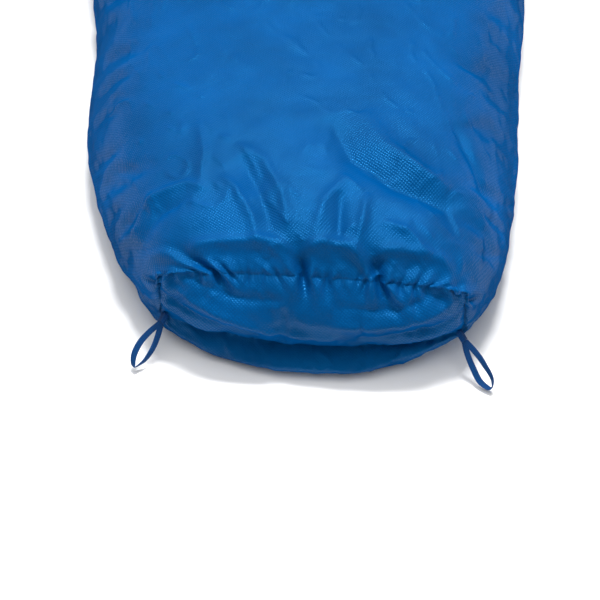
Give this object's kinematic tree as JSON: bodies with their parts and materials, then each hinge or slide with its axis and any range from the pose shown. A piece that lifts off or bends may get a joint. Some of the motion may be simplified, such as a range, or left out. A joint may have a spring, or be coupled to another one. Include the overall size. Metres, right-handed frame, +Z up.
{
  "type": "sleeping bag",
  "caption": "Mummy sleeping bag lying on its back, with a boxed foot, hang loops, a side zip whose flap folds back, and a hood.",
  "frame": {"origin": "on the floor, under the middle of the bag's length and width", "axes": "+Y from the foot to the crown, +X to the zip side (the wearer's left), +Z up"},
  "size_m": [0.7839, 2.1327, 0.1685],
  "materials": {
    "shell": "woven nylon with a soft sheen",
    "lining": "matt woven polyester",
    "fill": "loose synthetic wadding",
    "webbing": "narrow woven tape",
    "zip_tape": "woven tape",
    "zip_coil": "moulded nylon coil",
    "zip_metal": "plated zinc",
    "plastic": "moulded acetal",
    "cord": "braided elastic cord",
    "spring": "drawn wire",
    "hook_tape": "hook and loop tape"
  },
  "bodies": {
    "bag": {"bottom_shell": "shell", "bottom_fill": "fill", "bottom_lining": "lining", "foot_panel_shell": "shell", "foot_panel_fill": "fill", "foot_panel_lining": "lining", "top_body_shell": "shell", "top_body_fill": "fill", "top_body_lining": "lining", "top_fold_shell": "shell", "top_fold_fill": "fill", "top_fold_lining": "lining", "hood_shell": "shell", "hood_fill": "fill", "hood_lining": "lining", "hood_hem": "shell", "hood_drawcord": "cord", "zip_tape_lower": "zip_tape", "zip_coil_lower": "zip_coil", "zip_top_stop_lower": "zip_metal", "zip_bottom_stop": "zip_metal", "zip_guard_patch": "hook_tape", "hang_loop_left_bartack": "webbing", "hang_loop_right_bartack": "webbing"},
    "flap": {"top_flap_shell": "shell", "top_flap_fill": "fill", "top_flap_lining": "lining", "draft_tube": "lining", "zip_tape_upper": "zip_tape", "zip_coil_upper": "zip_coil", "zip_top_stop_upper": "zip_metal"},
    "slider": {"zip_slider": "zip_metal"},
    "outer_pull": {"zip_pull_outer": "zip_metal"},
    "inner_pull": {"zip_pull_inner": "zip_metal"},
    "guard": {"zip_guard_tab": "hook_tape"},
    "cord_lock": {"cord_lock_barrel": "plastic", "cord_lock_base": "plastic", "cord_lock_spring": "spring"},
    "lock_button": {"cord_lock_button": "plastic"},
    "loop_left": {"hang_loop_left": "webbing"},
    "loop_right": {"hang_loop_right": "webbing"}
  },
  "joints": [
    {"name": "flap_fold", "type": "hinge", "parent": "bag", "child": "flap", "pos_m": [0.286, -0.5, 0.095], "axis": [0.4035, -0.9134, -0.054], "range_deg": [0, 110], "deforming": ["top_fold_shell", "top_fold_fill", "top_fold_lining"]},
    {"name": "zip_travel", "type": "slide", "parent": "bag", "child": "slider", "axis": [-0.0995, -0.995, 0], "range_m": [0, 0.88]},
    {"name": "outer_pull_swing", "type": "hinge", "parent": "slider", "child": "outer_pull", "pos_m": [0.38613, 0.46102, 0.055], "axis": [0, 0, 1], "range_deg": [0, 150]},
    {"name": "inner_pull_swing", "type": "hinge", "parent": "slider", "child": "inner_pull", "pos_m": [0.37657, 0.46198, 0.055], "axis": [0, 0, -1], "range_deg": [0, 80]},
    {"name": "zip_guard_flip", "type": "hinge", "parent": "flap", "child": "guard", "pos_m": [0.39156, 0.49128, 0.074], "axis": [-0.0995, -0.995, 0], "range_deg": [0, 120]},
    {"name": "cord_lock_slide", "type": "slide", "parent": "bag", "child": "cord_lock", "axis": [0.0716, -0.888, 0.4542], "range_m": [-0.008, 0.002]},
    {"name": "cord_lock_button_press", "type": "slide", "parent": "cord_lock", "child": "lock_button", "axis": [0.0365, -0.4527, -0.8909], "range_m": [0, 0.0025], "stiffness_N_per_m": 400, "springref_m": -0.002, "deforming": ["cord_lock_spring"]},
    {"name": "hang_loop_left_swing", "type": "hinge", "parent": "bag", "child": "loop_left", "pos_m": [0.17965, -1.04424, 0.046], "axis": [-1, 0, 0], "range_deg": [0, 60]},
    {"name": "hang_loop_right_swing", "type": "hinge", "parent": "bag", "child": "loop_right", "pos_m": [-0.17635, -1.01576, 0.046], "axis": [-1, 0, 0], "range_deg": [0, 60]}
  ],
  "couplings": [
    {"joint": "zip_travel", "follows": "flap_fold", "m_per_rad": 0.4583}
  ]
}
